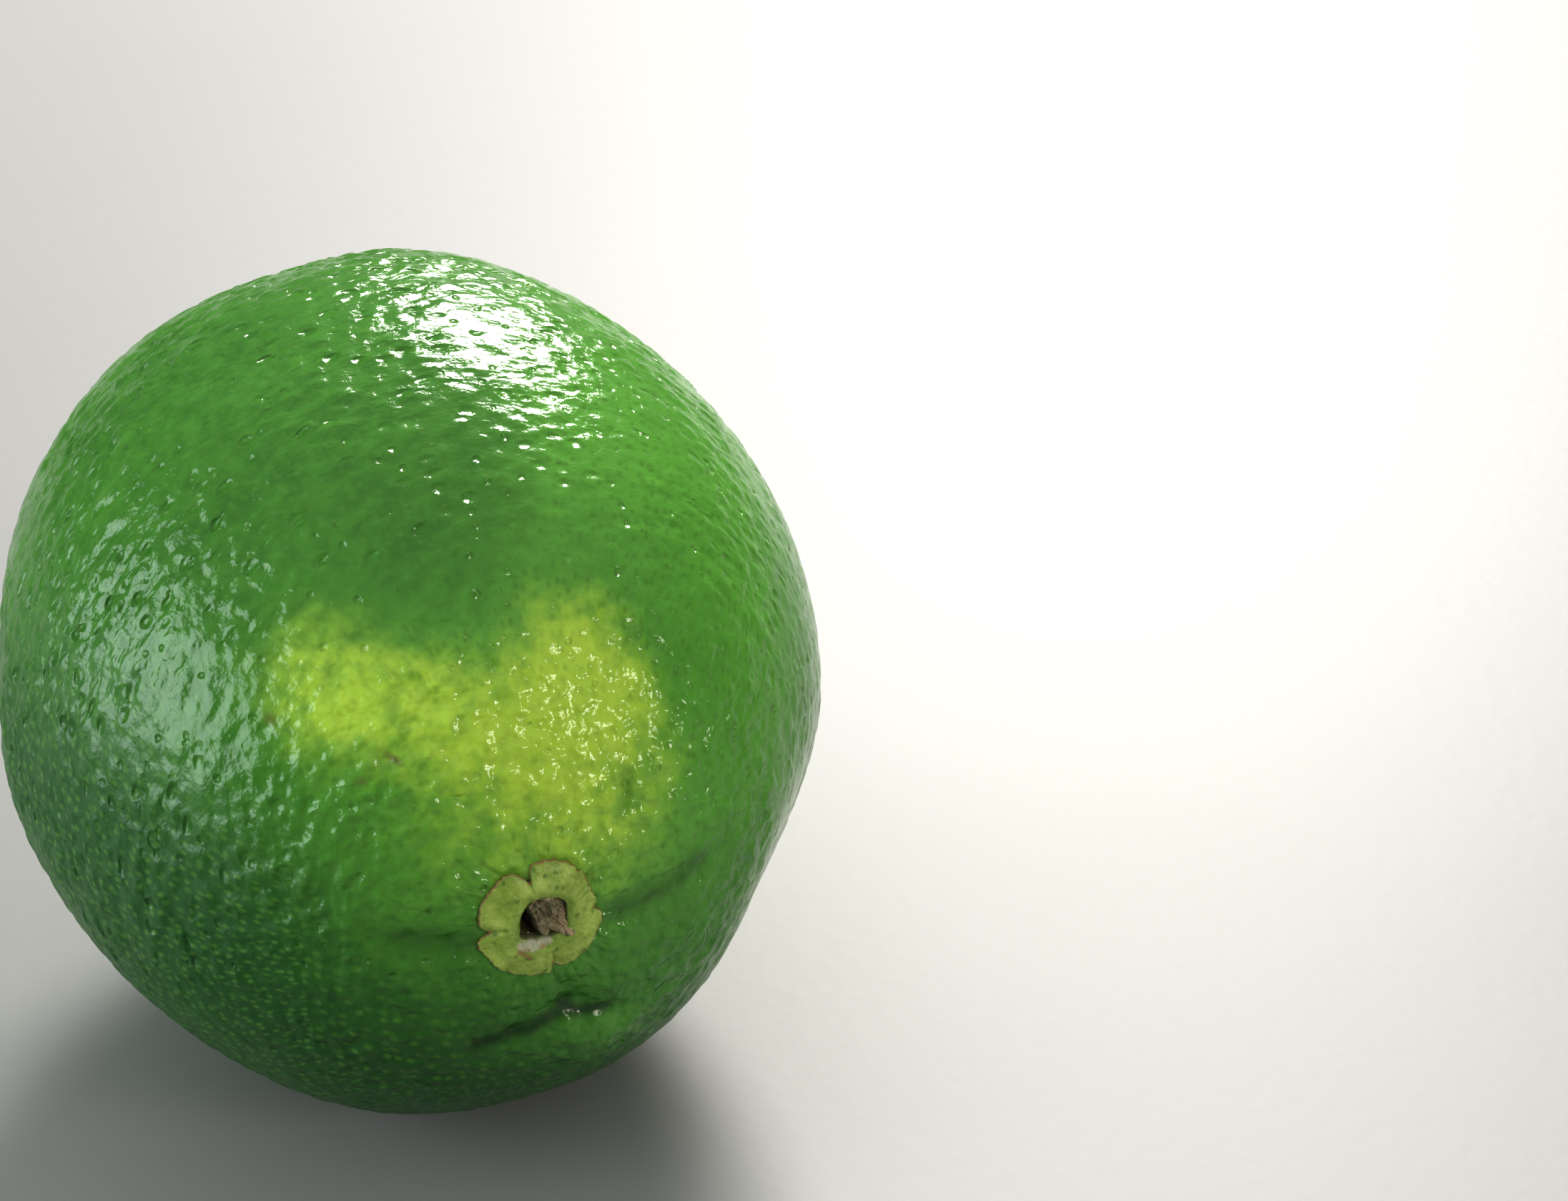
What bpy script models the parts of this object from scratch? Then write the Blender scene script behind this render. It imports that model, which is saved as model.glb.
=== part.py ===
"""A whole lime lying on its side: the fruit, its calyx button and the broken end of its stem.

Metres, +Z up. The long axis runs along Y, with the stem end at -Y and the tip at +Y. The origin
is on the surface that the lime rests on, under the middle of its bounding box.
"""

import math

import bmesh
import bpy
from mathutils import Matrix, Vector
from mathutils.bvhtree import BVHTree

# Fruit, measured from its middle.
HALF_WIDTH = 0.0266
HALF_HEIGHT = 0.0266
STEM_REACH = 0.0320  # to the stem end, before the dimple sinks it
TIP_REACH = 0.0320  # to the tip, before the nipple lengthens it
DIMPLE_DEPTH = 0.0012
DIMPLE_SPREAD = 0.0075
NIPPLE_RISE = 0.0021
NIPPLE_SPREAD = 0.0058
SCAR_DEPTH = 0.0005  # the dent that the flower left on the nipple
SCAR_SPREAD = 0.0016
FLAT_DEPTH = 0.0007  # how far the flat spot cuts into the underside

CLEARANCE = 0.0003  # between the skin, the calyx and the stub

# Stem stub: the torn wood left at the stem end.
STUB_RADIUS = 0.00115
STUB_TAPER = 0.85  # its torn end's radius, as a share of its foot's
STUB_HEIGHT = 0.0006
STUB_TOOTH_RISE = 0.0004
STUB_TOOTH_TURN = -40

# Calyx: a lobed collar round the pit that holds the stub.
CALYX_RADIUS = 0.0040
CALYX_RIM = 0.0003  # thickness at the lobes' edge
CALYX_COLLAR = 0.0009  # thickness round the pit
CALYX_SEAT = (-0.0004, 0.0002)  # x and z of its middle, from the long axis
PIT_HOLLOW = 0.0006  # the room left beside the stub, on its -X side
PIT_HALF_WIDTH = STUB_RADIUS + CLEARANCE + PIT_HOLLOW / 2
PIT_HALF_HEIGHT = STUB_RADIUS + CLEARANCE

FRUIT_SEGMENTS = 72
FRUIT_RINGS = 46
RING_CROWDING = 0.35  # how strongly the rings crowd toward the stem end: 0 leaves them even
CALYX_STEPS = 72
STUB_SEGMENTS = 20

# Swells and flats of the skin: azimuth from the stem end toward +X, elevation, spread in
# degrees, and height.
SWELLS = (
    (46, -17, 17, -0.0016),
    (-108, 2, 14, -0.0005),
    (-166, 51, 13, -0.0004),
    (160, 56, 13, 0.0004),
    (-26, -44, 15, 0.0005),
    (-95, -12, 12, 0.0003),
    (112, 40, 14, -0.0002),
    (7, -21, 7, 0.0006),
)

# Furrows at the stem end: x and z of each bend from the long axis, half-width, and depth.
FURROWS = (
    (((0.0046, -0.0005), (0.0080, -0.0002), (0.0115, 0.0010)), 0.0010, 0.0005),
    (((-0.0030, -0.0078), (0.0002, -0.0075), (0.0018, -0.0067)), 0.0010, 0.0005),
    (((0.0018, -0.0067), (0.0031, -0.0080), (0.0050, -0.0080)), 0.0010, 0.0006),
    (((-0.0090, -0.0006), (-0.0048, -0.0011)), 0.0015, 0.0003),
)

# Notches between the calyx's lobes: turn from +X toward +Z in degrees, half-width, and depth.
NOTCHES = (
    (101, 9, 0.0010),
    (188, 9, 0.0009),
    (283, 9, 0.0008),
    (359, 9, 0.0007),
    (51, 5, 0.0002),
)


def bell(distance, spread):
    """1 at no distance, falling smoothly to 0 over about twice the spread."""
    return math.exp(-((distance / spread) ** 2))


def turn_between(first, second):
    """The angle between two turns, in degrees."""
    return abs((first - second + 180) % 360 - 180)


def facing(azimuth, elevation):
    """Unit vector for an azimuth from -Y toward +X and an elevation, in degrees."""
    flat = math.cos(math.radians(elevation))
    return Vector(
        (
            math.sin(math.radians(azimuth)) * flat,
            -math.cos(math.radians(azimuth)) * flat,
            math.sin(math.radians(elevation)),
        )
    )


def distance_to_line(point, bends):
    """Distance in the XZ plane from a point to a line through its bends."""
    nearest = math.inf
    for start, end in zip(bends, bends[1:]):
        start = Vector(start)
        along = Vector(end) - start
        share = (point - start).dot(along) / along.length_squared
        foot = start + along * min(max(share, 0), 1)
        nearest = min(nearest, (point - foot).length)
    return nearest


def skin_point(direction):
    """The skin in one direction from the fruit's middle."""
    stem_side = direction.y < 0
    reach = STEM_REACH if stem_side else TIP_REACH
    scaled = Vector((direction.x / HALF_WIDTH, direction.y / reach, direction.z / HALF_HEIGHT))
    radius = 1 / scaled.length
    for azimuth, elevation, spread, height in SWELLS:
        away = math.degrees(direction.angle(facing(azimuth, elevation)))
        radius += height * bell(away, spread)
    point = direction * radius
    across = Vector((point.x, point.z))
    if stem_side:
        point.y += DIMPLE_DEPTH * bell(across.length, DIMPLE_SPREAD)
        for bends, half_width, depth in FURROWS:
            point.y += depth * bell(distance_to_line(across, bends), half_width)
    else:
        point.y += NIPPLE_RISE * bell(across.length, NIPPLE_SPREAD)
        point.y -= SCAR_DEPTH * bell(across.length, SCAR_SPREAD)
    return point


def material(name, colour, roughness):
    """A plain Principled BSDF material."""
    made = bpy.data.materials.new(name)
    made.use_nodes = True
    shader = made.node_tree.nodes["Principled BSDF"]
    shader.inputs["Base Color"].default_value = (*colour, 1)
    shader.inputs["Roughness"].default_value = roughness
    made.diffuse_color = (*colour, 1)
    return made


def add_object(name, shape, collection, parent, surface):
    """Turns a bmesh into a named object under its parent."""
    bmesh.ops.recalc_face_normals(shape, faces=shape.faces)
    mesh = bpy.data.meshes.new(name)
    shape.to_mesh(mesh)
    shape.free()
    mesh.materials.append(surface)
    made = bpy.data.objects.new(name, mesh)
    made.parent = parent
    collection.objects.link(made)
    return made


def fruit_shape():
    """The whole fruit round its own middle, with a flat spot to rest on."""
    shape = bmesh.new()
    bmesh.ops.create_uvsphere(
        shape,
        u_segments=FRUIT_SEGMENTS,
        v_segments=FRUIT_RINGS,
        radius=1,
        matrix=Matrix.Rotation(math.radians(90), 4, "X"),
    )
    for vertex in shape.verts:
        polar = math.acos(min(max(-vertex.co.y, -1), 1))
        crowded = polar - RING_CROWDING * math.sin(polar)
        around = Vector((vertex.co.x, 0, vertex.co.z))
        if around.length > 0:
            around.normalize()
        direction = around * math.sin(crowded) + Vector((0, -math.cos(crowded), 0))
        vertex.co = skin_point(direction)
    for face in shape.faces:
        face.smooth = True
    lowest = min(vertex.co.z for vertex in shape.verts)
    cut = bmesh.ops.bisect_plane(
        shape,
        geom=shape.verts[:] + shape.edges[:] + shape.faces[:],
        plane_co=(0, 0, lowest + FLAT_DEPTH),
        plane_no=(0, 0, -1),
        clear_outer=True,
    )
    rim = [piece for piece in cut["geom_cut"] if isinstance(piece, bmesh.types.BMEdge)]
    for flat in bmesh.ops.contextual_create(shape, geom=rim)["faces"]:
        flat.smooth = False
    return shape


def skin_finder(fruit):
    """A function giving the skin's y at the stem end for an x and a z."""
    tree = BVHTree.FromBMesh(fruit)
    outside = -2 * STEM_REACH

    def skin_y(x, z):
        """How far along Y the skin lies at this x and z."""
        return tree.ray_cast(Vector((x, outside, z)), Vector((0, 1, 0)))[0].y

    return skin_y


def calyx_reach(turn):
    """The calyx's radius at one turn, drawn in at each notch between its lobes."""
    reach = CALYX_RADIUS
    for notch_turn, half_width, depth in NOTCHES:
        reach -= depth * bell(turn_between(turn, notch_turn), half_width)
    return reach


def pit_reach(turn):
    """The pit's radius at one turn."""
    across = math.cos(math.radians(turn)) / PIT_HALF_WIDTH
    upright = math.sin(math.radians(turn)) / PIT_HALF_HEIGHT
    return 1 / math.hypot(across, upright)


def calyx_shape(skin_y):
    """A ring turned about the stem, then drawn out into lobes and laid over the skin."""
    section = (
        (1.0, 0.0),
        (1.0, CALYX_RIM),
        (0.75, CALYX_RIM + 0.45 * (CALYX_COLLAR - CALYX_RIM)),
        (0.5, CALYX_RIM + 0.75 * (CALYX_COLLAR - CALYX_RIM)),
        (0.2, CALYX_COLLAR),
        (0.0, 0.9 * CALYX_COLLAR),
        (0.0, 0.0),
        (0.33, 0.0),
        (0.67, 0.0),
    )
    shape = bmesh.new()
    corners = [shape.verts.new((1 + outward, -height, 0)) for outward, height in section]
    sides = [shape.edges.new((a, b)) for a, b in zip(corners, corners[1:] + corners[:1])]
    bmesh.ops.spin(
        shape,
        geom=corners + sides,
        cent=(0, 0, 0),
        axis=(0, 1, 0),
        angle=math.tau,
        steps=CALYX_STEPS,
        use_merge=True,
    )
    for vertex in shape.verts:
        turn = math.degrees(math.atan2(vertex.co.z, vertex.co.x))
        outward = math.hypot(vertex.co.x, vertex.co.z) - 1
        height = -vertex.co.y
        radius = pit_reach(turn) + outward * (calyx_reach(turn) - pit_reach(turn))
        x = CALYX_SEAT[0] + radius * math.cos(math.radians(turn))
        z = CALYX_SEAT[1] + radius * math.sin(math.radians(turn))
        vertex.co = (x, skin_y(x, z) - CLEARANCE - height, z)
    return shape


def stub_shape(skin_y):
    """A short torn peg of wood, higher on one side where a tooth was pulled out."""
    shape = bmesh.new()
    bmesh.ops.create_cone(
        shape,
        cap_ends=True,
        segments=STUB_SEGMENTS,
        radius1=STUB_RADIUS,
        radius2=STUB_TAPER * STUB_RADIUS,
        depth=1,
        matrix=Matrix.Translation((0, -0.5, 0)) @ Matrix.Rotation(math.radians(90), 4, "X"),
    )
    tooth_turn = math.radians(STUB_TOOTH_TURN)
    tooth = Vector((math.cos(tooth_turn), math.sin(tooth_turn)))
    for vertex in shape.verts:
        across = Vector((vertex.co.x, vertex.co.z))
        toward_tooth = across.dot(tooth) / STUB_RADIUS
        height = -vertex.co.y * (STUB_HEIGHT + STUB_TOOTH_RISE * toward_tooth)
        x = CALYX_SEAT[0] + PIT_HOLLOW / 2 + across.x
        z = CALYX_SEAT[1] + across.y
        vertex.co = (x, skin_y(x, z) - CLEARANCE - height, z)
    return shape


def stand_on_origin(anchor, pieces):
    """Moves the anchor so that the pieces stand on z = 0, centred on the origin."""
    corners = [vertex.co for piece in pieces for vertex in piece.data.vertices]
    middles = []
    for axis in (0, 1):
        values = [corner[axis] for corner in corners]
        middles.append((min(values) + max(values)) / 2)
    lowest = min(corner.z for corner in corners)
    anchor.location = (-middles[0], -middles[1], -lowest)


def main():
    """Clears the scene and builds the lime."""
    for existing in list(bpy.data.objects):
        bpy.data.objects.remove(existing, do_unlink=True)
    collection = bpy.data.collections.new("lime")
    bpy.context.scene.collection.children.link(collection)
    anchor = bpy.data.objects.new("lime", None)
    collection.objects.link(anchor)

    rind = material("lime_rind", (0.085, 0.25, 0.035), 0.35)
    sepal = material("calyx_green", (0.20, 0.31, 0.06), 0.7)
    wood = material("dry_stem", (0.10, 0.06, 0.03), 0.85)

    fruit = fruit_shape()
    skin_y = skin_finder(fruit)
    pieces = [
        add_object("calyx", calyx_shape(skin_y), collection, anchor, sepal),
        add_object("stem_stub", stub_shape(skin_y), collection, anchor, wood),
        add_object("fruit", fruit, collection, anchor, rind),
    ]
    stand_on_origin(anchor, pieces)


main()
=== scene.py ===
"""Looks of a whole lime: its pitted rind, calyx button and torn stem stub, in a small studio.

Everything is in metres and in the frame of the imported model. The lime lies on its side with its
long axis along Y, the stem end at -Y and the tip at +Y.
"""

import logging
import math
from dataclasses import dataclass, field
from enum import Enum
from typing import Optional, Sequence, Union

import bmesh
import bpy
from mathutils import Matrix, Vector, noise
from mathutils.bvhtree import BVHTree


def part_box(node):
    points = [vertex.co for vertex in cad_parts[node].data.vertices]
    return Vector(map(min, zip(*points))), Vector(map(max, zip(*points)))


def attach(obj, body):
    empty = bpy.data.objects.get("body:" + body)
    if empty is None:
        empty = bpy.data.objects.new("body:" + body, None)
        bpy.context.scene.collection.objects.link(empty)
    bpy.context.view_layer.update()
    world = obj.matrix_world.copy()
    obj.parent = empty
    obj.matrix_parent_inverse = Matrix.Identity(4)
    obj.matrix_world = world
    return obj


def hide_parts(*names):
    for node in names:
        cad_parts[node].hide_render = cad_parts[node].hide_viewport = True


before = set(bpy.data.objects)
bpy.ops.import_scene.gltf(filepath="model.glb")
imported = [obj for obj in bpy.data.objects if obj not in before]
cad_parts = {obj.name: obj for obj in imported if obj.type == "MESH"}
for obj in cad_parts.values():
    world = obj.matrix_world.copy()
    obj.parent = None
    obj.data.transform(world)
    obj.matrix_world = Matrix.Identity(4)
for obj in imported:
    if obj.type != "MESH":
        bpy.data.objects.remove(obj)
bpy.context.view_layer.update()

LOG = logging.getLogger("lime")
MM = 0.001
NOISE_SEED = 7

Socket = bpy.types.NodeSocket
Number = Union[float, Socket]
Colour = tuple[float, float, float]
Layers = dict[str, bmesh.types.BMLayerItem]


# ---------------------------------------------------------------------------------------------
# Small sums that several pieces share
# ---------------------------------------------------------------------------------------------


def bell(distance: float, spread: float) -> float:
    """1 at no distance, falling smoothly to 0 over about twice the spread."""
    return math.exp(-((distance / spread) ** 2))


def step(value: float, start: float, end: float) -> float:
    """A smooth step from 0 at start to 1 at end, either way round."""
    share = min(max((value - start) / (end - start), 0.0), 1.0)
    return share * share * (3 - 2 * share)


def turn_past(turn: float, mark: float) -> float:
    """How far a turn is past a mark, from -180 to 180 degrees."""
    return (turn - mark + 180) % 360 - 180


def turn_of(x: float, z: float) -> float:
    """The turn of a point about the stem, in degrees from +X toward +Z."""
    return math.degrees(math.atan2(z, x))


def spoke(turn: float, depth: float = 0.0) -> Vector:
    """A unit vector at a turn about the stem, with a depth to read noise at."""
    return Vector((math.cos(math.radians(turn)), math.sin(math.radians(turn)), depth))


def square_radius(turn: float, half_width: float, half_height: float, squareness: float) -> float:
    """The radius of a square with soft corners.

    Args:
        turn: The turn about its middle, in degrees.
        half_width: Half its width, in metres.
        half_height: Half its height, in metres.
        squareness: 2 for an ellipse, more for sharper corners.

    Returns:
        The radius at that turn, in metres.
    """
    across = abs(math.cos(math.radians(turn)) / half_width)
    upright = abs(math.sin(math.radians(turn)) / half_height)
    return (across**squareness + upright**squareness) ** (-1 / squareness)


def distance_to_line(point: Vector, bends: Sequence[tuple[float, float]]) -> float:
    """Distance from a point to a line through its bends, in the XZ plane.

    Args:
        point: X and Z of the point.
        bends: X and Z of each bend, in order.

    Returns:
        The distance to the nearest stretch of the line.
    """
    nearest = math.inf
    for first, second in zip(bends, bends[1:]):
        start = Vector(first)
        along = Vector(second) - start
        share = min(max((point - start).dot(along) / along.length_squared, 0.0), 1.0)
        nearest = min(nearest, (point - start - along * share).length)
    return nearest


# ---------------------------------------------------------------------------------------------
# Material wiring
# ---------------------------------------------------------------------------------------------


class Sum(Enum):
    """A sum that a material does on two numbers."""

    ADD = "ADD"
    TAKE_AWAY = "SUBTRACT"
    TIMES = "MULTIPLY"


class Space(Enum):
    """Whether a pattern lies in a plane or fills space."""

    FLAT = "2D"
    SOLID = "3D"


class Wiring:
    """A material's nodes, added and joined one call at a time."""

    MIX_FIRST, MIX_SECOND, MIX_RESULT = 6, 7, 2

    def __init__(self, name: str) -> None:
        """Starts a material that holds only a Principled BSDF."""
        self.material = bpy.data.materials.new(name)
        self.material.use_nodes = True
        self.nodes = self.material.node_tree.nodes
        self.links = self.material.node_tree.links
        self.shader = self.nodes["Principled BSDF"]
        self.place = self.nodes.new("ShaderNodeTexCoord").outputs["Object"]

    def feed(self, socket: Socket, value: Union[Number, Colour, Vector]) -> None:
        """Links a socket to an output, or sets it to a constant."""
        if isinstance(value, Socket):
            self.links.new(value, socket)
        elif socket.type == "RGBA":
            socket.default_value = (*value, 1.0)
        else:
            socket.default_value = value

    def maths(self, operation: Sum, first: Number, second: Number, clamp: bool = False) -> Socket:
        """One sum on two numbers, kept from 0 to 1 if clamped."""
        node = self.nodes.new("ShaderNodeMath")
        node.operation = operation.value
        node.use_clamp = clamp
        self.feed(node.inputs[0], first)
        self.feed(node.inputs[1], second)
        return node.outputs[0]

    def total(self, *terms: Number) -> Socket:
        """The sum of several numbers."""
        result = terms[0]
        for term in terms[1:]:
            result = self.maths(Sum.ADD, result, term)
        return result

    def scaled(self, value: Number, factor: Number) -> Socket:
        """A number times a factor."""
        return self.maths(Sum.TIMES, value, factor)

    def rest_of(self, share: Number) -> Socket:
        """What a share leaves of 1."""
        return self.maths(Sum.TAKE_AWAY, 1.0, share, True)

    def fade(
        self, value: Number, start: float, end: float, low: float = 0.0, high: float = 1.0
    ) -> Socket:
        """A smooth step from low at start to high at end."""
        node = self.nodes.new("ShaderNodeMapRange")
        node.interpolation_type = "SMOOTHSTEP"
        for name, given in (
            ("Value", value),
            ("From Min", start),
            ("From Max", end),
            ("To Min", low),
            ("To Max", high),
        ):
            self.feed(node.inputs[name], given)
        return node.outputs["Result"]

    def mapped(
        self,
        centre: Sequence[float] = (0.0, 0.0, 0.0),
        turned: Sequence[float] = (0.0, 0.0, 0.0),
        size: Sequence[float] = (1.0, 1.0, 1.0),
        place: Optional[Socket] = None,
    ) -> Socket:
        """Coordinates centred on a spot, turned and counted in its own sizes.

        Args:
            centre: Where the pattern's middle lies, in metres.
            turned: How the pattern is turned about X, Y and Z, in degrees.
            size: The length that counts as 1 along each of its own axes.
            place: Coordinates to start from; the object's own if left out.

        Returns:
            The mapped coordinates.
        """
        node = self.nodes.new("ShaderNodeMapping")
        node.vector_type = "TEXTURE"
        self.feed(node.inputs["Vector"], place or self.place)
        node.inputs["Location"].default_value = centre
        node.inputs["Rotation"].default_value = [math.radians(angle) for angle in turned]
        node.inputs["Scale"].default_value = size
        return node.outputs["Vector"]

    def length(self, vector: Socket) -> Socket:
        """The length of a vector."""
        node = self.nodes.new("ShaderNodeVectorMath")
        node.operation = "LENGTH"
        self.feed(node.inputs[0], vector)
        return node.outputs["Value"]

    def noise(self, place: Optional[Socket], size: float, detail: float) -> bpy.types.Node:
        """A noise whose lumps are about one size across."""
        node = self.nodes.new("ShaderNodeTexNoise")
        self.feed(node.inputs["Vector"], place or self.place)
        node.inputs["Scale"].default_value = 1 / size
        node.inputs["Detail"].default_value = detail
        return node

    def shaken(self, place: Socket, size: float, amount: float) -> Socket:
        """Coordinates pushed about by a noise of one size, up to an amount each way."""
        pushed = self.nodes.new("ShaderNodeVectorMath")
        pushed.operation = "MULTIPLY_ADD"
        self.feed(pushed.inputs[0], self.noise(place, size, 2.0).outputs["Color"])
        pushed.inputs[1].default_value = (2 * amount,) * 3
        self.feed(pushed.inputs[2], place)
        centred = self.nodes.new("ShaderNodeVectorMath")
        centred.operation = "SUBTRACT"
        self.feed(centred.inputs[0], pushed.outputs["Vector"])
        centred.inputs[1].default_value = (amount,) * 3
        return centred.outputs["Vector"]

    def grain(
        self, size: float, detail: float, roughness: float = 0.5, place: Optional[Socket] = None
    ) -> Socket:
        """A soft noise from 0 to 1: its size, how many finer layers it has, and how strong they are."""
        node = self.noise(place, size, detail)
        node.inputs["Roughness"].default_value = roughness
        return node.outputs["Fac"]

    def cells(
        self, size: float, place: Optional[Socket], space: Space, disorder: float
    ) -> tuple[Socket, Socket]:
        """A cell pattern.

        Args:
            size: How far apart the cells lie, in metres.
            place: Coordinates to read; the object's own if left out.
            space: Whether the pattern lies in a plane or in space.
            disorder: How far the cells stray from an even grid, from 0 to 1.

        Returns:
            The distance to the nearest cell's middle, in cells, and a random shade for each cell.
        """
        node = self.nodes.new("ShaderNodeTexVoronoi")
        node.voronoi_dimensions = space.value
        self.feed(node.inputs["Vector"], place or self.place)
        node.inputs["Scale"].default_value = 1 / size
        node.inputs["Randomness"].default_value = disorder
        shade = self.nodes.new("ShaderNodeSeparateColor")
        self.links.new(node.outputs["Color"], shade.inputs["Color"])
        return node.outputs["Distance"], shade.outputs[0]

    def attribute(self, name: str) -> Socket:
        """A number stored on the piece's own mesh."""
        node = self.nodes.new("ShaderNodeAttribute")
        node.attribute_name = name
        return node.outputs["Fac"]

    def flat_place(self, name: str) -> Socket:
        """The piece's own flattened coordinates."""
        node = self.nodes.new("ShaderNodeUVMap")
        node.uv_map = name
        return node.outputs["UV"]

    def vector_attribute(self, name: str) -> Socket:
        """Three numbers stored on the piece's own mesh."""
        node = self.nodes.new("ShaderNodeAttribute")
        node.attribute_name = name
        return node.outputs["Vector"]

    def mix(
        self, share: Number, first: Union[Colour, Socket], second: Union[Colour, Socket]
    ) -> Socket:
        """The first colour where the share is 0 and the second where it is 1."""
        node = self.nodes.new("ShaderNodeMix")
        node.data_type = "RGBA"
        self.feed(node.inputs[0], share)
        self.feed(node.inputs[self.MIX_FIRST], first)
        self.feed(node.inputs[self.MIX_SECOND], second)
        return node.outputs[self.MIX_RESULT]

    def bump(self, height: Socket, depth: float, under: Optional[Socket] = None) -> Socket:
        """A bumped normal: height counts from 0 to 1, and depth is what 1 means in metres."""
        node = self.nodes.new("ShaderNodeBump")
        self.feed(node.inputs["Height"], height)
        node.inputs["Distance"].default_value = depth
        node.inputs["Strength"].default_value = 1.0
        if under is not None:
            self.feed(node.inputs["Normal"], under)
        return node.outputs["Normal"]

    def finish(
        self, colour: Union[Colour, Socket], roughness: Number, normal: Socket
    ) -> bpy.types.Material:
        """Joins the results to the shader and returns the material."""
        self.feed(self.shader.inputs["Base Color"], colour)
        self.feed(self.shader.inputs["Roughness"], roughness)
        self.feed(self.shader.inputs["Normal"], normal)
        return self.material


@dataclass(frozen=True)
class Blotches:
    """Soft irregular blotches: a noise's size and make-up, and where in it they start and fill."""

    size: float
    detail: float
    roughness: float
    start: float
    full: float

    def mask(self, wiring: Wiring) -> Socket:
        """0 between the blotches and 1 within them."""
        noisy = wiring.grain(self.size, self.detail, self.roughness)
        return wiring.fade(noisy, self.start, self.full)


@dataclass(frozen=True)
class Spots:
    """Round spots, one to a cell, of a strength that each cell's random shade sets."""

    size: float
    reach: float
    core: float
    none_below: float
    full_above: float
    faintest: float = 0.0
    space: Space = Space.SOLID
    disorder: float = 1.0

    def mask(self, wiring: Wiring, place: Optional[Socket] = None) -> Socket:
        """The spots at each point.

        Args:
            wiring: The material being wired.
            place: The coordinates to read; the object's own if left out.

        Returns:
            Each spot's strength at its core, falling to 0 at its reach.
        """
        distance, shade = wiring.cells(self.size, place, self.space, self.disorder)
        spot = wiring.fade(distance, self.reach, self.core)
        strength = wiring.fade(shade, self.none_below, self.full_above, self.faintest)
        return wiring.scaled(spot, strength)


# ---------------------------------------------------------------------------------------------
# Finishes
# ---------------------------------------------------------------------------------------------


@dataclass(frozen=True)
class Patch:
    """A soft-edged patch of colour on the rind, measured from the fruit's middle."""

    centre: tuple[float, float, float]
    reach: tuple[float, float, float]
    turned: tuple[float, float, float] = (0.0, 0.0, 0.0)
    strength: float = 1.0

    def mask(self, wiring: Wiring, middle: Vector, place: Socket) -> Socket:
        """Its strength in the middle, fading to 0 at its reach.

        Args:
            wiring: The material being wired.
            middle: The fruit's middle.
            place: The coordinates to read.

        Returns:
            The patch's share at each point.
        """
        centre = middle + Vector(self.centre)
        away = wiring.length(wiring.mapped(tuple(centre), self.turned, self.reach, place))
        return wiring.fade(away, 1.0, 0.0, 0.0, self.strength)


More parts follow.
